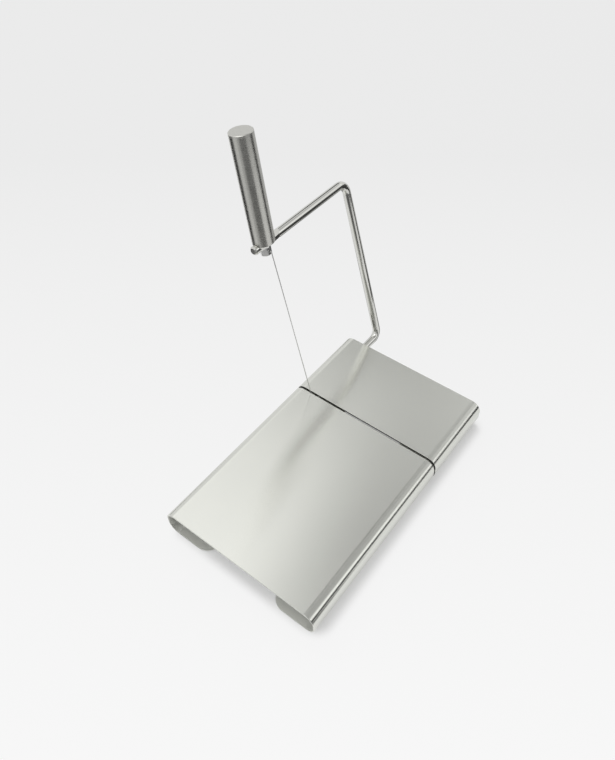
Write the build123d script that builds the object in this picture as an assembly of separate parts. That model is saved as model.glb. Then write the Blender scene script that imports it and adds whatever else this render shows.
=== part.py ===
from build123d import *
import os
from math import cos, radians, sin

# Cheese slicer: a folded sheet board with a slot across it, and a bent rod arm that carries a
# cutting wire and a handle. Millimetres. X runs across the board, Y along it, Z up. Everything is
# drawn with the board's near left corner at zero, and moved at the end so that the origin is the
# middle of the whole object's footprint, on the surface that it stands on.

# Board: one folded sheet
board_length = 200.0
board_width = 121.0
board_height = 20.7
sheet = 1.2
fold_radius = 7.8
flange_width = 35.6
flange_corner_radius = 10.3
edge_break = 0.25

# Slot that the wire drops into
slot_from_near_end = 136.0
slot_width = 1.6
slot_left_drop = 5.2
slot_right_drop = 10.1

# Feet
foot_length = 22.0
foot_width = 10.0
foot_height = 1.6
foot_corner = 2.0
foot_edge = 0.4
foot_from_end = 16.0

# Arm: one bent rod
rod_diameter = 6.0
leg_length = 133.4
arm_past_board = 22.2
elbow_radius = 8.0
stub_bend_radius = 7.0
arm_lean = 15.5
axle_past_clip = 2.4

# Eye: the rod pressed flat under the handle, where the screw passes through it
eye_diameter = 8.0
eye_thickness = 2.6
eye_hole_diameter = 4.3
neck_share = 0.88
shoulder_from_eye = 12.0
shoulder_run = 2.0
handle_lean = 7.5

# The rod's own end, left round beyond the eye
tip_reach = 10.5
tip_chamfer = 0.9
seat_clearance = 0.3

# Handle
handle_diameter = 15.0
handle_length = 72.2
handle_wall = 1.5
handle_edge = 0.4
cap_thickness = 1.6
insert_length = 14.0

# Screw under the eye, with a cross hole for the wire
screw_diameter = 4.0
screw_depth = 11.0
head_across_flats = 7.0
head_height = 5.6
head_chamfer = 0.4
washer_diameter = 8.0
washer_thickness = 0.5
washer_edge_share = 0.3

# Wire and its crimped stops
wire_diameter = 0.7
wire_hole_diameter = 1.3
wire_bend_radius = 1.2
wire_stands_off = 1.5
wire_tail = 0.6
stop_diameter = 2.6
stop_length = 3.4

# Axle bushes and the straps that hold them
axle_clearance = 0.06
bush_wall = 1.94
strap_thickness = 1.5
strap_width = 10.0
strap_foot = 12.0
strap_bend_radius = 1.5
strap_corner_share = 0.25
bush_rim = 0.4
bush_rim_thickness = 1.2
bush_to_fold = 0.3
far_strap_from_end = 12.0
near_strap_from_slot = 15.0

# Washers and clips on the axle
side_play = 0.3
thrust_washer_thickness = 0.8
axle_washer_diameter = 11.5
axle_washer_clearance = 0.15
spring_washer_thickness = 0.5
spring_washer_rise = 0.6
clip_thickness = 0.7
clip_diameter = 11.0
clip_band = 1.7
clip_prong_width = 2.0
clip_mouth_angle = 100.0
groove_depth = 0.6
groove_play = 0.05

# Cuts run past the faces that they open by this much
overrun = 2.0

# Places worked out from the sizes
rod_radius = rod_diameter / 2
bush_radius = rod_radius + axle_clearance + bush_wall
strap_radius = bush_radius + strap_thickness
rim_radius = strap_radius + bush_rim
top_underside = board_height - sheet
axle_x = fold_radius + rim_radius + bush_to_fold
axle_z = top_underside - rim_radius
leg_y = board_length + arm_past_board
far_strap_y = board_length - far_strap_from_end
near_strap_y = slot_from_near_end - near_strap_from_slot
bush_length = strap_width + 2 * bush_rim_thickness
bush_slot_face = near_strap_y + bush_length / 2
bush_near_face = near_strap_y - bush_length / 2
washer_y = bush_slot_face + side_play
inner_clip_y = washer_y + thrust_washer_thickness + groove_play
spring_y = bush_near_face - side_play
spring_depth = spring_washer_thickness + spring_washer_rise
outer_clip_y = spring_y - spring_depth - groove_play - clip_thickness
axle_end_y = outer_clip_y - axle_past_clip
groove_radius = rod_radius - groove_depth

# Heights in the arm's own frame, measured from the leg's end along the handle's axis
eye_top = eye_thickness / 2
eye_bottom = -eye_top
neck_radius = rod_radius * neck_share
head_top = eye_bottom - washer_thickness
head_middle = head_top - head_height / 2


def ring(outer, inner, thickness):
    """A flat washer that lies on XY and rises along Z."""
    return extrude(Circle(outer) - Circle(inner), thickness)


def along_y(shape, y):
    """Turns a shape drawn along Z so that it runs along Y from the given place."""
    return Pos(0, y, 0) * Rot(-90, 0, 0) * shape


def board_section():
    """The folded sheet's section: a rounded box, open below between the flanges."""
    outer = RectangleRounded(board_width, board_height, fold_radius)
    inner = RectangleRounded(board_width - 2 * sheet, board_height - 2 * sheet, fold_radius - sheet)
    gap = board_width - 2 * flange_width
    mouth = Pos(0, -board_height / 2) * Rectangle(gap, board_height)
    return Pos(board_width / 2, board_height / 2) * (outer - inner - mouth)


def slot_cutter(x_from, x_to, floor):
    """A cut across the board down to a height, with a round bottom."""
    length = x_to - x_from
    top = board_height + overrun
    middle_x = (x_from + x_to) / 2
    upright = Pos(middle_x, slot_from_near_end, (floor + top) / 2) * Box(length, slot_width, top - floor)
    bottom = Pos(middle_x, slot_from_near_end, floor) * Rot(0, 90, 0) * Cylinder(slot_width / 2, length)
    return upright + bottom


def make_board_shell():
    shell = extrude(Plane.XZ * board_section(), -board_length)
    flange_edges = shell.edges().filter_by(Axis.Z).filter_by(
        lambda e: flange_width - sheet < e.center().X < board_width - flange_width + sheet
    )
    shell = fillet(flange_edges, flange_corner_radius)
    shell -= slot_cutter(-overrun, board_width / 2, board_height - slot_left_drop)
    shell -= slot_cutter(board_width / 2, board_width + overrun, board_height - slot_right_drop)
    level = shell.edges().filter_by(Axis.X)
    rims = level.filter_by(lambda e: abs(e.center().Z - board_height) < edge_break)
    return chamfer(rims, edge_break)


def make_foot(x, y):
    """A soft strip with cut corners, stuck under the flange."""
    strip = Box(foot_width, foot_length, foot_height)
    strip = chamfer(strip.edges().filter_by(Axis.Z), foot_corner)
    strip = chamfer(strip.faces().sort_by(Axis.Z)[0].edges(), foot_edge)
    return Pos(x, y, -foot_height / 2) * strip


def saddle(radius, length, roof):
    """A block with a round bottom about the axle and a flat top at the given height above it."""
    block = Pos(0, roof / 2) * Rectangle(2 * radius, roof)
    return extrude(Plane.XZ * (Circle(radius) + block), length / 2, both=True)


def make_bush(y):
    """A plastic bush: a saddle-shaped body with a rim at each end, bored for the axle."""
    body = saddle(bush_radius, bush_length, rim_radius)
    rim = saddle(rim_radius, bush_rim_thickness, rim_radius)
    offset = (bush_length - bush_rim_thickness) / 2
    body += Pos(0, offset, 0) * rim + Pos(0, -offset, 0) * rim
    body -= Rot(90, 0, 0) * Cylinder(rod_radius + axle_clearance, bush_length + overrun)
    return Pos(axle_x, y, axle_z) * body


def make_bracket(y):
    """A strap bent round the bush, with one foot welded flat to the underside of the top."""
    outer = saddle(strap_radius, strap_width, rim_radius)
    reach = strap_radius + strap_foot
    foot = Pos(reach / 2, 0, rim_radius - strap_thickness / 2)
    outer += foot * Box(reach, strap_width, strap_thickness)
    inside_corner = (strap_radius, 0, rim_radius - strap_thickness)
    bend = outer.edges().filter_by(Axis.Y).sort_by_distance(inside_corner)[0]
    outer = fillet(bend, strap_bend_radius)
    foot_middle = strap_radius + strap_foot / 2
    ends = outer.edges().filter_by(Axis.Z).filter_by(lambda e: e.center().X > foot_middle)
    outer = fillet(ends, strap_width * strap_corner_share)
    outer -= saddle(bush_radius, strap_width + overrun, rim_radius)
    return Pos(axle_x, y, axle_z) * outer


def place_arm(shape):
    """Puts a shape drawn in the arm's frame, with the leg straight up from the axle, in its place."""
    return Pos(axle_x, 0, axle_z) * Rot(0, -arm_lean, 0) * shape


def place_handle(shape):
    """Puts a shape drawn along Z from the eye's centre on the handle's axis, in the arm's frame."""
    return place_arm(Pos(0, slot_from_near_end, leg_length) * Rot(0, handle_lean, 0) * shape)


def eye_plate():
    """The pressed length, a little wider than the rod where the screw passes through it."""
    neck = Pos(0, shoulder_from_eye) * Circle(neck_radius)
    end = Pos(0, rod_radius - tip_reach) * Circle(neck_radius)
    outline = make_hull(Circle(eye_diameter / 2).edges() + neck.edges() + end.edges())
    outline -= Circle(eye_hole_diameter / 2)
    return extrude(Pos(0, 0, eye_bottom) * outline, eye_thickness)


def rod_tip():
    """The round end beyond the eye, cut back from the seats of the handle and of the washer."""
    bar = extrude(Circle(rod_radius), tip_reach)
    bar = chamfer(bar.edges().filter_by(GeomType.CIRCLE).sort_by(Axis.Z)[-1], tip_chamfer)
    bar = Rot(90, 0, 0) * bar
    bar -= Cylinder(washer_diameter / 2 + seat_clearance, 2 * rod_diameter)
    return bar - Pos(0, 0, eye_top) * extrude(Circle(handle_diameter / 2 + seat_clearance), rod_diameter)


def shoulder_ramp():
    """The cut that slopes from the eye's upper face to the top of the round rod; below it is mirrored."""
    rise = rod_radius - eye_top
    slope = shoulder_run / rise
    reach = rise + overrun
    ramp = Polygon(
        (shoulder_from_eye - overrun, eye_top),
        (shoulder_from_eye, eye_top),
        (shoulder_from_eye + slope * reach, eye_top + reach),
        (shoulder_from_eye - overrun, eye_top + reach),
        align=None,
    )
    return extrude(Plane.YZ * ramp, rod_diameter, both=True)


def clip_groove(y):
    band = ring(rod_diameter, groove_radius, clip_thickness + 2 * groove_play)
    return along_y(band, y - groove_play)


def wire_corner():
    """Where the wire turns into the screw's cross hole, in the arm's frame."""
    lean = radians(handle_lean)
    out = head_across_flats / 2 + wire_stands_off
    x = out * cos(lean) + head_middle * sin(lean)
    z = leg_length - out * sin(lean) + head_middle * cos(lean)
    return Vector(x, slot_from_near_end, z)


def wire_direction():
    corner = wire_corner()
    return Vector(corner.X, 0, corner.Z).normalized()


def place_on_wire(shape, distance):
    """Puts a shape drawn along Z on the wire's line, at a distance from the axle's centre."""
    line = wire_direction()
    centre = Vector(0, slot_from_near_end, 0) + line * distance
    return place_arm(Plane(origin=centre, x_dir=(0, 1, 0), z_dir=line) * shape)


def make_arm_rod():
    shoulder_y = slot_from_near_end + shoulder_from_eye
    corners = [(0, axle_end_y, 0), (0, leg_y, 0), (0, leg_y, leg_length), (0, shoulder_y, leg_length)]
    line = FilletPolyline(*corners, radius=[stub_bend_radius, elbow_radius])
    rod = sweep(Plane(origin=corners[0], z_dir=(0, 1, 0)) * Circle(rod_radius), path=line)
    eye_place = Pos(0, slot_from_near_end, leg_length) * Rot(0, handle_lean, 0)
    ramp = shoulder_ramp()
    rod = rod - eye_place * ramp - eye_place * mirror(ramp, Plane.XY)
    rod += eye_place * (eye_plate() + rod_tip())
    rod -= clip_groove(inner_clip_y)
    rod -= clip_groove(outer_clip_y)
    return place_arm(rod) - place_on_wire(Cylinder(wire_hole_diameter / 2, rod_diameter + overrun), 0)


def make_thrust_washer():
    washer = ring(axle_washer_diameter / 2, rod_radius + axle_washer_clearance, thrust_washer_thickness)
    return place_arm(along_y(washer, washer_y))


def make_spring_washer():
    """A dished spring washer, its wide rim towards the bush."""
    inner = rod_radius + axle_washer_clearance
    outer = axle_washer_diameter / 2
    section = Polygon(
        (outer, 0), (outer, -spring_washer_thickness),
        (inner, -spring_depth), (inner, -spring_washer_rise),
        align=None,
    )
    return place_arm(along_y(revolve(Plane.XZ * section, Axis.Z), spring_y))


def make_axle_clip(y):
    """A flat clip that is open on one side, with three prongs that sit in the axle's groove."""
    outer = clip_diameter / 2
    inner = outer - clip_band
    half_mouth = radians(clip_mouth_angle / 2)
    reach = outer + overrun
    mouth = Polygon(
        (0, 0), (reach * sin(half_mouth), -reach * cos(half_mouth)),
        (reach * sin(half_mouth), -2 * reach), (-reach * sin(half_mouth), -2 * reach),
        (-reach * sin(half_mouth), -reach * cos(half_mouth)),
        align=None,
    )
    face = Circle(outer) - Circle(inner) - mouth
    middle = (groove_radius + inner + clip_band / 2) / 2
    length = inner + clip_band / 2 - groove_radius
    for angle in (0, 90, 180):
        prong = Rot(0, 0, angle) * Pos(middle, 0) * Rectangle(length, clip_prong_width)
        face += prong
    face -= Circle(groove_radius + groove_play)
    return place_arm(along_y(extrude(face, clip_thickness), y))


def make_cutting_wire():
    """The wire: from its stop under the axle, taut to the screw, and through the screw's cross hole."""
    lean = radians(handle_lean)
    corner = wire_corner()
    start = Vector(0, slot_from_near_end, 0) - wire_direction() * (rod_radius + stop_length + wire_tail)
    through = head_across_flats + wire_stands_off + stop_length + wire_tail
    end = corner + Vector(-cos(lean), 0, sin(lean)) * through
    line = FilletPolyline(start, corner, end, radius=wire_bend_radius)
    profile = Plane(origin=start, z_dir=wire_direction()) * Circle(wire_diameter / 2)
    return place_arm(sweep(profile, path=line))


def crimped_stop():
    """A short sleeve squeezed on the wire, drawn along Z."""
    return Cylinder(stop_diameter / 2, stop_length) - Cylinder(wire_diameter / 2, stop_length + overrun)


def make_wire_stop_axle():
    return place_on_wire(crimped_stop(), -(rod_radius + stop_length / 2))


def make_wire_stop_handle():
    out = head_across_flats / 2 + stop_length / 2
    return place_handle(Pos(-out, 0, head_middle) * Rot(0, 90, 0) * crimped_stop())


def make_handle_tube():
    length = handle_length - cap_thickness
    tube = ring(handle_diameter / 2, handle_diameter / 2 - handle_wall, length)
    foot = tube.edges().filter_by(GeomType.CIRCLE).sort_by(Axis.Z)[:2].sort_by(SortBy.LENGTH)[-1]
    return place_handle(Pos(0, 0, eye_top) * chamfer(foot, handle_edge))


def make_handle_end_cap():
    disc = extrude(Circle(handle_diameter / 2), cap_thickness)
    rim = disc.edges().filter_by(GeomType.CIRCLE).sort_by(Axis.Z)[-1]
    disc = chamfer(rim, handle_edge)
    return place_handle(Pos(0, 0, eye_top + handle_length - cap_thickness) * disc)


def make_handle_insert():
    plug = ring(handle_diameter / 2 - handle_wall, screw_diameter / 2, insert_length)
    return place_handle(Pos(0, 0, eye_top) * plug)


def make_screw_washer():
    washer = ring(washer_diameter / 2, eye_hole_diameter / 2, washer_thickness)
    rim = washer.edges().sort_by(SortBy.LENGTH)[-2:].sort_by(Axis.Z)[0]
    return place_handle(Pos(0, 0, head_top) * chamfer(rim, washer_thickness * washer_edge_share))


def make_tension_screw():
    """A hexagon screw from below, with a cross hole through its head for the wire."""
    head = extrude(RegularPolygon(head_across_flats / 2, 6, major_radius=False, rotation=30), head_height)
    corner_radius = head_across_flats / 2 / cos(radians(30))
    turned = extrude(Circle(corner_radius), head_height)
    turned = chamfer(turned.edges().filter_by(GeomType.CIRCLE).sort_by(Axis.Z)[0], head_chamfer)
    head = Pos(0, 0, head_top - head_height) * (head & turned)
    shank_length = eye_top - head_top + screw_depth
    shank = Pos(0, 0, head_top) * extrude(Circle(screw_diameter / 2), shank_length)
    screw = head + shank
    hole = Rot(0, 90, 0) * Cylinder(wire_hole_diameter / 2, 2 * head_across_flats)
    return place_handle(screw - Pos(0, 0, head_middle) * hole)


feet_x = {"left": flange_width / 2, "right": board_width - flange_width / 2}
feet_y = {"near": foot_from_end, "far": board_length - foot_from_end}

nodes = {
    "board_shell": make_board_shell(),
    "axle_bracket_far": make_bracket(far_strap_y),
    "axle_bracket_near": make_bracket(near_strap_y),
    "axle_bush_far": make_bush(far_strap_y),
    "axle_bush_near": make_bush(near_strap_y),
    "arm_rod": make_arm_rod(),
    "thrust_washer": make_thrust_washer(),
    "spring_washer": make_spring_washer(),
    "axle_clip_inner": make_axle_clip(inner_clip_y),
    "axle_clip_outer": make_axle_clip(outer_clip_y),
    "cutting_wire": make_cutting_wire(),
    "wire_stop_axle": make_wire_stop_axle(),
    "wire_stop_handle": make_wire_stop_handle(),
    "handle_tube": make_handle_tube(),
    "handle_end_cap": make_handle_end_cap(),
    "handle_insert": make_handle_insert(),
    "screw_washer": make_screw_washer(),
    "tension_screw": make_tension_screw(),
}
for end, y in feet_y.items():
    for side, x in feet_x.items():
        nodes[f"foot_{end}_{side}"] = make_foot(x, y)

# The origin: middle of the footprint, on the surface that the feet stand on
whole = Compound(list(nodes.values())).bounding_box()
origin = Vector(-whole.center().X, -whole.center().Y, -whole.min.Z)

os.makedirs("parts", exist_ok=True)
for name, shape in nodes.items():
    export_step(Pos(origin) * shape, f"parts/{name}.step")

pivot = Vector(axle_x, 0, axle_z) + origin
print(f"axle at x {pivot.X:.4f} z {pivot.Z:.4f}, slot at y {slot_from_near_end + origin.Y:.4f}")
print(f"size {whole.size.X:.2f} x {whole.size.Y:.2f} x {whole.size.Z:.2f}")
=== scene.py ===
import math

import bmesh
import bpy
from mathutils import Matrix, Vector


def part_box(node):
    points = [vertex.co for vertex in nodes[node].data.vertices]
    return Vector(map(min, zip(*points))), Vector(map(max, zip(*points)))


# Cheese slicer: satin sheet board, polished bent rod, brushed handle. Metres, in the CAD frame.

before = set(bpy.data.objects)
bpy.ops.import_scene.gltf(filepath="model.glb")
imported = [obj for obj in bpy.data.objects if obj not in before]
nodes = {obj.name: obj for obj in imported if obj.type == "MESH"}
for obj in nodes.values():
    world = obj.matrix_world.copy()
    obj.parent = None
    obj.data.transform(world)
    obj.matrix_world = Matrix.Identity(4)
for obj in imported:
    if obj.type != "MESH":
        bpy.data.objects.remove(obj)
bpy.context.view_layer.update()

# Camera: place, direction and lens as in the photograph, whose frame is 615 x 760
camera_place = Vector((0.17906, -0.22982, 0.40761))
camera_azimuth = math.radians(37.09)
camera_elevation = math.radians(48.40)
camera_roll = math.radians(0.30)
camera_lens = 32.244
camera_shift = (-0.02655, -0.00492)
sensor_width = 36.0
camera_range = (0.01, 50.0)

# Finishes
sheet_color = (0.737, 0.744, 0.697)
# Near black of the slot's band: painted shade of the slot's depth, with some real scale on its walls
slot_shade_color = (0.05, 0.05, 0.047)
rod_color = (0.70, 0.70, 0.665)
handle_color = (0.625, 0.622, 0.586)
screw_color = (0.78, 0.78, 0.77)
wire_color = (0.72, 0.72, 0.71)
fixing_color = (0.60, 0.60, 0.58)
bush_color = (0.82, 0.82, 0.79)
foot_color = (0.55, 0.55, 0.53)

# Grain of each finish. Scales count noise cells per metre; a gloss is a range of roughness; a bump is a
# strength and a depth; a shade is the share by which the tone varies.
noise_span = (0.25, 0.75)

sheet_shade = 0.035
sheet_cloud_scale = 14.0
sheet_hairline_scale = (90.0, 2600.0, 2600.0)
sheet_speckle_scale = 2100.0
sheet_speckle_gloss = (0.18, 0.23)
sheet_hairline_gloss = (-0.015, 0.015)
sheet_dull_gloss = 0.46
sheet_inner_oxide = 0.3
sheet_anisotropy = 1.0
sheet_hairline_bump = (0.10, 0.00002)
sheet_speckle_bump = (0.12, 0.00003)

rod_shade = 0.06
rod_cloud_scale = 60.0
rod_scratch_scale = (900.0, 900.0, 160.0)
rod_gloss = (0.10, 0.15)
rod_bump = (0.03, 0.00001)

handle_shade = 0.16
handle_ring_scale = (60.0, 60.0, 3600.0)
handle_speckle_scale = 1500.0
handle_blotch_scale = 220.0
handle_ring_gloss = (0.24, 0.32)
handle_blotch_gloss = (-0.02, 0.02)
handle_bump = (0.16, 0.00003)

cap_shade = 0.12
cap_ring_scale = 5200.0
cap_speckle_scale = 1700.0
cap_gloss = (0.30, 0.42)
cap_ring_bump = (0.18, 0.00002)
cap_speckle_bump = (0.14, 0.00003)

small_steel_shade = 0.06
small_steel_bump = (0.10, 0.00003)
moulded_shade = 0.04
moulded_bump = (0.15, 0.00005)
moulded_depth = (0.001, 0.001, 0.001)

# Lean about Y of the rings round the handle, half a degree more than the handle's own
handle_lean = math.radians(8.0)

# The folded sheet's section, for telling its inside from its outside
sheet_thickness = 0.0012
fold_radius = 0.0078
across_fold = (1.0, 0.0, 1.0)
in_plan = (1.0, 1.0, 0.0)

# The wire's slot: its middle, and half the width of the near-black band over its walls, burr and a hair
# of the top beside them.
# The band is painted shade of the slot's depth, with some real scale on the walls.
slot_middle = 0.0234
slot_shade_reach = 0.0009

# Surroundings
floor_color = (0.87, 0.87, 0.87)
floor_roughness = 0.9
floor_specular = 0.1
floor_slope = (-0.3, 0.4)
floor_glow_far = 0.82
floor_glow_near = 0.95
floor_glow_share = 0.95
# Painted shadow outline: how far out from the board the glow is held back, how much the footprint
# shrinks at the near end, and the share of glow kept over the board
floor_shadow_reach = 0.009
floor_shadow_inset = 0.004
floor_shadow_floor = 0.30
floor_half_side = 6.0
backdrop_level = 0.83
softbox_place = (-0.75, 0.35, 1.25)
softbox_target = (0.0, 0.0, 0.03)
softbox_size = 0.9
softbox_power = 7.0

# Lighter and darker parts of the room: direction, inner and outer angle in degrees, change of level
room_glows = [
    ((-0.57, 0.17, 0.81), 8.7, 23.1, 0.40),
    ((-0.16, -0.30, 0.94), 12.0, 22.1, 1.20),
    ((0.72, 0.53, 0.45), 4.0, 11.0, 0.55),
    ((0.87, 0.30, 0.38), 4.0, 14.0, 0.50),
    ((0.40, 0.70, 0.60), 5.0, 17.0, 0.40),
    ((-0.42, 0.70, 0.57), 5.0, 15.0, -0.80),
    ((-0.14, 0.37, 0.92), 5.0, 14.0, -0.72),
    ((0.39, 0.34, 0.86), 13.4, 35.9, -0.45),
    ((0.62, -0.70, 0.35), 12.0, 30.0, -0.50),
]
room_darkest = 0.05

# Cards that only the metal sees, each glowing at a given level: painted reflections of lighter and
# darker surroundings, laid as sectors round a point of the floor near the slot's left end:
# name, first and last direction in degrees, inner and outer reach, rise at the outer reach, level
card_hub = (-0.060, 0.030)
card_height = 0.002
cards = [
    ("left_card", -176.0, -130.0, 0.15, 0.80, 0.0, 0.04),
    ("near_card", -130.0, -94.0, 0.20, 1.60, 0.0, 0.66),
    ("side_card", -94.0, -72.0, 0.20, 1.60, 0.0, 0.45),
    ("camera_card", -72.0, -14.0, 0.22, 1.60, 0.0, 0.13),
    ("right_card", -14.0, 32.0, 0.30, 0.80, 0.0, 0.80),
    ("table_end_card", -14.0, 32.0, 0.80, 1.60, 0.0, 0.06),
    ("corner_card", 32.0, 60.0, 0.20, 1.60, 0.0, 0.05),
    ("back_card", 60.0, 130.0, 0.24, 1.60, 0.0, 0.55),
    ("far_end_card", 60.0, 130.0, 0.09, 0.24, 0.0, 0.30),
    ("horizon_card", -24.0, 80.0, 1.60, 1.60, 0.43, 0.08),
]
card_step = 6.0

# The Mix node's colour sockets
mix_a, mix_b, mix_result = 6, 7, 2
white = (1.0, 1.0, 1.0, 1.0)


def make_camera():
    forward = Vector((
        -math.sin(camera_azimuth) * math.cos(camera_elevation),
        math.cos(camera_azimuth) * math.cos(camera_elevation),
        -math.sin(camera_elevation),
    ))
    level = Vector((math.cos(camera_azimuth), math.sin(camera_azimuth), 0.0))
    below = forward.cross(level)
    right = math.cos(camera_roll) * level + math.sin(camera_roll) * below
    down = math.cos(camera_roll) * below - math.sin(camera_roll) * level
    data = bpy.data.cameras.new("photo_camera")
    data.lens = camera_lens
    data.sensor_width = sensor_width
    data.shift_x, data.shift_y = camera_shift
    data.clip_start, data.clip_end = camera_range
    camera = bpy.data.objects.new("photo_camera", data)
    turn = Matrix((right, -down, -forward)).transposed().to_4x4()
    camera.matrix_world = Matrix.Translation(camera_place) @ turn
    bpy.context.scene.collection.objects.link(camera)
    bpy.context.scene.camera = camera


class Maker:
    """A node tree that is filled one node at a time."""

    def __init__(self, tree):
        self.tree = tree
        tree.nodes.clear()

    def add(self, kind, settings=None):
        node = self.tree.nodes.new(kind)
        for key, value in (settings or {}).items():
            setattr(node, key, value)
        return node

    def put(self, node, key, value):
        socket = node.inputs[int(key)] if key.isdigit() else node.inputs[key]
        if isinstance(value, bpy.types.NodeSocket):
            self.tree.links.new(value, socket)
        else:
            socket.default_value = value

    def math(self, operation, a, b=0.0):
        node = self.add("ShaderNodeMath", {"operation": operation})
        self.put(node, "0", a)
        self.put(node, "1", b)
        return node.outputs[0]

    def spread(self, value, low, high):
        """Maps noise, whose values lie mostly in noise_span, to a range."""
        node = self.add("ShaderNodeMapRange", {"clamp": True})
        self.put(node, "Value", value)
        self.put(node, "From Min", noise_span[0])
        self.put(node, "From Max", noise_span[1])
        self.put(node, "To Min", low)
        self.put(node, "To Max", high)
        return node.outputs[0]

    def noise(self, vector, scale, detail=2.0):
        node = self.add("ShaderNodeTexNoise")
        self.put(node, "Vector", vector)
        self.put(node, "Scale", scale)
        self.put(node, "Detail", detail)
        return node.outputs["Fac"]

    def stretched(self, vector, scale, turn=(0.0, 0.0, 0.0)):
        node = self.add("ShaderNodeMapping")
        self.put(node, "Vector", vector)
        node.inputs["Scale"].default_value = scale
        node.inputs["Rotation"].default_value = turn
        return node.outputs[0]

    def tint(self, fac, low, high):
        node = self.add("ShaderNodeMix", {"data_type": "RGBA"})
        self.put(node, "0", fac)
        node.inputs[mix_a].default_value = (*low, 1.0)
        node.inputs[mix_b].default_value = (*high, 1.0)
        return node.outputs[mix_result]

    def bump(self, height, strength, distance, normal=None):
        node = self.add("ShaderNodeBump")
        node.inputs["Strength"].default_value = strength
        node.inputs["Distance"].default_value = distance
        self.put(node, "Height", height)
        if normal is not None:
            self.put(node, "Normal", normal)
        return node.outputs[0]


def shades(color, amount):
    """A darker and a lighter shade of a colour."""
    return tuple(c * (1 - amount) for c in color), tuple(min(1.0, c * (1 + amount)) for c in color)


def start_material(name, metallic):
    material = bpy.data.materials.new(name)
    material.use_nodes = True
    maker = Maker(material.node_tree)
    shader = maker.add("ShaderNodeBsdfPrincipled")
    shader.inputs["Metallic"].default_value = metallic
    output = maker.add("ShaderNodeOutputMaterial")
    maker.put(output, "Surface", shader.outputs[0])
    place = maker.add("ShaderNodeTexCoord").outputs["Object"]
    return material, maker, shader, place


def vector_math(maker, operation, *values):
    node = maker.add("ShaderNodeVectorMath", {"operation": operation})
    for index, value in enumerate(values):
        maker.put(node, str(index), value)
    return node.outputs["Value"] if operation in ("LENGTH", "DOT_PRODUCT") else node.outputs[0]


def edge_distance(maker, place, middle, half, radius, flat):
    """Distance outside a rounded box, negative inside it. Axes that are 0 in flat don't count."""
    near = vector_math(maker, "MULTIPLY", vector_math(maker, "SUBTRACT", place, middle), flat)
    core = tuple((h - radius) * f for h, f in zip(half, flat))
    beyond = vector_math(maker, "SUBTRACT", vector_math(maker, "ABSOLUTE", near), core)
    outside = vector_math(maker, "LENGTH", vector_math(maker, "MAXIMUM", beyond, (0.0, 0.0, 0.0)))
    return maker.math("SUBTRACT", outside, radius)


def sheet_steel():
    """Satin sheet: fine even grain, faint hairlines across the board, slow changes of tone. What it
    mirrors is smeared along the board. Its inner face is dull. The slot's walls are dull and near
    black, and so is a hair of the top beside them: painted shade of the slot's depth, partly real
    scale."""
    material, maker, shader, place = start_material("satin_sheet_steel", 1.0)
    low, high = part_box("board_shell")
    middle, half = (low + high) / 2, (high - low) / 2
    depth = edge_distance(maker, place, middle, half, fold_radius, across_fold)
    inside = maker.math("LESS_THAN", depth, -sheet_thickness / 2)
    cloud = maker.noise(place, sheet_cloud_scale, 3.0)
    hairline = maker.noise(maker.stretched(place, sheet_hairline_scale), 1.0, 3.0)
    speckle = maker.noise(place, sheet_speckle_scale, 2.0)
    apart = maker.add("ShaderNodeSeparateXYZ")
    maker.put(apart, "Vector", place)
    # Painted shade: the slot's walls and a hair of the top beside them turn near black
    from_slot = maker.math("ABSOLUTE", maker.math("SUBTRACT", apart.outputs["Y"], slot_middle))
    slot_shade_band = maker.math("LESS_THAN", from_slot, slot_shade_reach)
    steel = maker.tint(cloud, *shades(sheet_color, sheet_shade))
    color = maker.add("ShaderNodeMix", {"data_type": "RGBA"})
    maker.put(color, "0", slot_shade_band)
    maker.put(color, str(mix_a), steel)
    color.inputs[mix_b].default_value = (*slot_shade_color, 1.0)
    maker.put(shader, "Base Color", color.outputs[mix_result])
    grain_gloss = maker.spread(speckle, *sheet_speckle_gloss)
    gloss = maker.math("ADD", grain_gloss, maker.spread(hairline, *sheet_hairline_gloss))
    dull = maker.math("MULTIPLY", maker.math("MAXIMUM", inside, slot_shade_band), sheet_dull_gloss)
    maker.put(shader, "Roughness", maker.math("ADD", gloss, dull))
    oxide = maker.math("MULTIPLY", inside, sheet_inner_oxide)
    maker.put(shader, "Metallic", maker.math("SUBTRACT", 1.0, oxide))
    shader.inputs["Anisotropic"].default_value = sheet_anisotropy
    along = maker.add("ShaderNodeCombineXYZ")
    along.inputs["Y"].default_value = 1.0
    maker.put(shader, "Tangent", along.outputs[0])
    fine = maker.bump(hairline, *sheet_hairline_bump)
    maker.put(shader, "Normal", maker.bump(speckle, *sheet_speckle_bump, fine))
    return material


def rod_steel():
    """Drawn and polished rod: small patches of tone and fine scratches."""
    material, maker, shader, place = start_material("polished_rod_steel", 1.0)
    cloud = maker.noise(place, rod_cloud_scale, 4.0)
    scratch = maker.noise(maker.stretched(place, rod_scratch_scale), 1.0, 4.0)
    maker.put(shader, "Base Color", maker.tint(cloud, *shades(rod_color, rod_shade)))
    maker.put(shader, "Roughness", maker.spread(scratch, *rod_gloss))
    maker.put(shader, "Normal", maker.bump(scratch, *rod_bump))
    return material


def handle_steel():
    """Turned and brushed tube: rings round the axis, with fine speckle."""
    material, maker, shader, place = start_material("brushed_handle_steel", 1.0)
    turn = (0.0, handle_lean, 0.0)
    rings = maker.noise(maker.stretched(place, handle_ring_scale, turn), 1.0, 4.0)
    speckle = maker.noise(place, handle_speckle_scale, 3.0)
    blotch = maker.noise(place, handle_blotch_scale, 3.0)
    tone = maker.math("ADD", maker.math("MULTIPLY", rings, 0.5), maker.math("MULTIPLY", speckle, 0.5))
    maker.put(shader, "Base Color", maker.tint(tone, *shades(handle_color, handle_shade)))
    ring_gloss = maker.spread(rings, *handle_ring_gloss)
    gloss = maker.math("ADD", ring_gloss, maker.spread(blotch, *handle_blotch_gloss))
    maker.put(shader, "Roughness", gloss)
    fine = maker.bump(rings, *handle_bump)
    maker.put(shader, "Normal", maker.bump(speckle, *handle_bump, fine))
    return material


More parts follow.
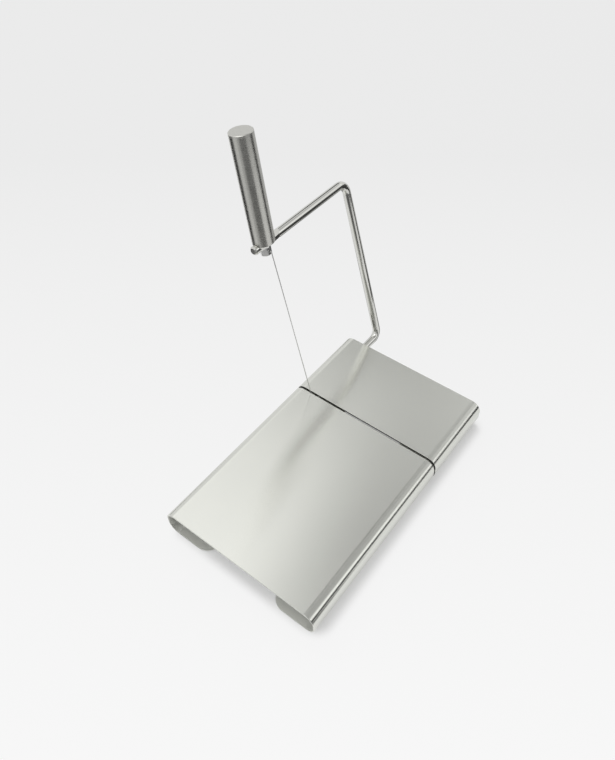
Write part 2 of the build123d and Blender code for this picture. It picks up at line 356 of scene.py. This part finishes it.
def cap_steel():
    """The handle's end face: rings from facing it on a lathe."""
    material, maker, shader, place = start_material("faced_end_steel", 1.0)
    low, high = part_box("handle_end_cap")
    middle = (low + high) / 2
    distance = vector_math(maker, "LENGTH", vector_math(maker, "SUBTRACT", place, middle))
    joined = maker.add("ShaderNodeCombineXYZ")
    maker.put(joined, "X", distance)
    rings = maker.noise(joined.outputs[0], cap_ring_scale, 2.0)
    speckle = maker.noise(place, cap_speckle_scale, 3.0)
    maker.put(shader, "Base Color", maker.tint(speckle, *shades(handle_color, cap_shade)))
    maker.put(shader, "Roughness", maker.spread(rings, *cap_gloss))
    fine = maker.bump(rings, *cap_ring_bump)
    maker.put(shader, "Normal", maker.bump(speckle, *cap_speckle_bump, fine))
    return material


def plain_steel(name, color, gloss, scale):
    """Small steel parts: even tone with tumbling marks at the given scale."""
    material, maker, shader, place = start_material(name, 1.0)
    marks = maker.noise(place, scale, 4.0)
    cloud = maker.noise(place, scale / 8, 2.0)
    maker.put(shader, "Base Color", maker.tint(cloud, *shades(color, small_steel_shade)))
    maker.put(shader, "Roughness", maker.spread(marks, *gloss))
    maker.put(shader, "Normal", maker.bump(marks, *small_steel_bump))
    return material


def moulded(name, color, gloss, scale, soft):
    """Moulded plastic or rubber: fine orange peel and slow changes of tone."""
    material, maker, shader, place = start_material(name, 0.0)
    peel = maker.noise(place, scale, 3.0)
    cloud = maker.noise(place, scale / 12, 2.0)
    maker.put(shader, "Base Color", maker.tint(cloud, *shades(color, moulded_shade)))
    maker.put(shader, "Roughness", maker.spread(peel, *gloss))
    shader.inputs["Subsurface Weight"].default_value = soft
    shader.inputs["Subsurface Radius"].default_value = moulded_depth
    maker.put(shader, "Normal", maker.bump(peel, *moulded_bump))
    return material


def paint(names, material):
    for name in names:
        data = nodes[name].data
        data.materials.clear()
        data.materials.append(material)


def dress_cad_nodes():
    paint(["board_shell"], sheet_steel())
    paint(["arm_rod"], rod_steel())
    paint(["handle_tube"], handle_steel())
    paint(["handle_end_cap"], cap_steel())
    screw = plain_steel("polished_screw_steel", screw_color, gloss=(0.16, 0.26), scale=900.0)
    paint(["tension_screw", "screw_washer"], screw)
    wire = plain_steel("drawn_wire_steel", wire_color, gloss=(0.16, 0.26), scale=2400.0)
    paint(["cutting_wire"], wire)
    sleeve = plain_steel("crimped_sleeve_steel", wire_color, gloss=(0.24, 0.36), scale=1800.0)
    paint(["wire_stop_axle", "wire_stop_handle"], sleeve)
    fixing = plain_steel("mill_fixing_steel", fixing_color, gloss=(0.30, 0.44), scale=1200.0)
    paint(["axle_bracket_far", "axle_bracket_near", "thrust_washer", "spring_washer"], fixing)
    paint(["axle_clip_inner", "axle_clip_outer", "handle_insert"], fixing)
    bush = moulded("acetal_bush", bush_color, gloss=(0.38, 0.50), scale=1500.0, soft=0.15)
    paint(["axle_bush_far", "axle_bush_near"], bush)
    foot = moulded("silicone_foot", foot_color, gloss=(0.45, 0.60), scale=1300.0, soft=0.25)
    paint([name for name in nodes if name.startswith("foot_")], foot)


def link_mesh(name, work):
    data = bpy.data.meshes.new(name)
    work.to_mesh(data)
    work.free()
    made = bpy.data.objects.new(name, data)
    bpy.context.scene.collection.objects.link(made)
    return made


def make_floor():
    work = bmesh.new()
    bmesh.ops.create_grid(work, x_segments=1, y_segments=1, size=floor_half_side)
    floor = link_mesh("studio_floor", work)
    floor.data.materials.append(floor_paper())


def floor_paper():
    """Pale paper. The camera and the metal see it as a nearly even glow, a little darker toward the far
    side. Over the board's footprint and a narrow band round it the glow is held back: a painted outline
    that sets how far the board's real contact shadow shows."""
    material, maker, shader, place = start_material("pale_floor", 0.0)
    shader.inputs["Base Color"].default_value = (*floor_color, 1.0)
    shader.inputs["Roughness"].default_value = floor_roughness
    shader.inputs["Specular IOR Level"].default_value = floor_specular
    low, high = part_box("board_shell")
    low.y += floor_shadow_inset
    middle, half = (low + high) / 2, (high - low) / 2
    away = edge_distance(maker, place, middle, half, fold_radius, in_plan)
    # Painted shadow outline: the glow fades out toward the board's footprint
    shadow_outline_fade = maker.add("ShaderNodeMapRange", {"interpolation_type": "SMOOTHSTEP"})
    maker.put(shadow_outline_fade, "Value", away)
    shadow_outline_fade.inputs["From Min"].default_value = 0.0
    shadow_outline_fade.inputs["From Max"].default_value = floor_shadow_reach
    shadow_outline_fade.inputs["To Min"].default_value = floor_shadow_floor
    rays = maker.add("ShaderNodeLightPath")
    seen = maker.math("MAXIMUM", rays.outputs["Is Camera Ray"], rays.outputs["Is Glossy Ray"])
    seen = maker.math("MAXIMUM", seen, rays.outputs["Is Transmission Ray"])
    share = maker.math("MULTIPLY", maker.math("MULTIPLY", seen, shadow_outline_fade.outputs[0]), floor_glow_share)
    slope = maker.add("ShaderNodeMapRange", {"clamp": True})
    toward_far = Vector((-math.sin(camera_azimuth), math.cos(camera_azimuth), 0.0))
    maker.put(slope, "Value", vector_math(maker, "DOT_PRODUCT", place, toward_far))
    slope.inputs["From Min"].default_value = floor_slope[0]
    slope.inputs["From Max"].default_value = floor_slope[1]
    slope.inputs["To Min"].default_value = floor_glow_near
    slope.inputs["To Max"].default_value = floor_glow_far
    glow = maker.add("ShaderNodeEmission")
    maker.put(glow, "Strength", slope.outputs[0])
    glow.inputs["Color"].default_value = white
    mixed = maker.add("ShaderNodeMixShader")
    maker.put(mixed, "0", share)
    maker.put(mixed, "1", shader.outputs[0])
    maker.put(mixed, "2", glow.outputs[0])
    output = next(n for n in material.node_tree.nodes if n.type == "OUTPUT_MATERIAL")
    maker.put(output, "Surface", mixed.outputs[0])
    return material


def make_world():
    """A pale even room, with the lighter and darker parts that the metal mirrors."""
    world = bpy.data.worlds.new("pale_room")
    bpy.context.scene.world = world
    world.use_nodes = True
    maker = Maker(world.node_tree)
    direction = maker.add("ShaderNodeTexCoord").outputs["Generated"]
    level = backdrop_level
    for centre, inner, outer, gain in room_glows:
        facing = vector_math(maker, "DOT_PRODUCT", direction, Vector(centre).normalized())
        fall = maker.add("ShaderNodeMapRange", {"interpolation_type": "SMOOTHSTEP"})
        maker.put(fall, "Value", facing)
        fall.inputs["From Min"].default_value = math.cos(math.radians(outer))
        fall.inputs["From Max"].default_value = math.cos(math.radians(inner))
        level = maker.math("ADD", level, maker.math("MULTIPLY", fall.outputs[0], gain))
    shader = maker.add("ShaderNodeBackground")
    shader.inputs["Color"].default_value = white
    maker.put(shader, "Strength", maker.math("MAXIMUM", level, room_darkest))
    output = maker.add("ShaderNodeOutputWorld")
    maker.put(output, "Surface", shader.outputs[0])


def make_softbox(name, place, target, size, power):
    data = bpy.data.lights.new(name, "AREA")
    data.shape = "SQUARE"
    data.size = size
    data.energy = power
    lamp = bpy.data.objects.new(name, data)
    lamp.location = place
    lamp.rotation_mode = "QUATERNION"
    lamp.rotation_quaternion = (Vector(target) - Vector(place)).to_track_quat("-Z", "Y")
    lamp.visible_camera = False
    lamp.visible_glossy = False
    bpy.context.scene.collection.objects.link(lamp)


# A card's even glow, which only glossy rays see: a painted reflection
def card_paper(name, level):
    material = bpy.data.materials.new(name)
    material.use_nodes = True
    maker = Maker(material.node_tree)
    glow = maker.add("ShaderNodeEmission")
    glow.inputs["Color"].default_value = white
    glow.inputs["Strength"].default_value = level
    output = maker.add("ShaderNodeOutputMaterial")
    maker.put(output, "Surface", glow.outputs[0])
    return material


def make_cards():
    for name, first, last, inner, outer, rise, level in cards:
        steps = math.ceil((last - first) / card_step)
        work = bmesh.new()
        rows = []
        for reach, height in ((inner, card_height), (outer, card_height + rise)):
            row = []
            for step in range(steps + 1):
                turn = math.radians(first + (last - first) * step / steps)
                x = card_hub[0] + reach * math.cos(turn)
                y = card_hub[1] + reach * math.sin(turn)
                row.append(work.verts.new((x, y, height)))
            rows.append(row)
        for step in range(steps):
            work.faces.new((rows[0][step], rows[1][step], rows[1][step + 1], rows[0][step + 1]))
        card = link_mesh(name, work)
        card.data.materials.append(card_paper(name, level))
        card.visible_camera = False
        card.visible_diffuse = False
        card.visible_shadow = False
        card.visible_transmission = False


make_camera()
dress_cad_nodes()
make_floor()
make_world()
make_softbox("soft_key", softbox_place, softbox_target, softbox_size, softbox_power)
make_cards()
bpy.context.scene.view_settings.view_transform = "Standard"
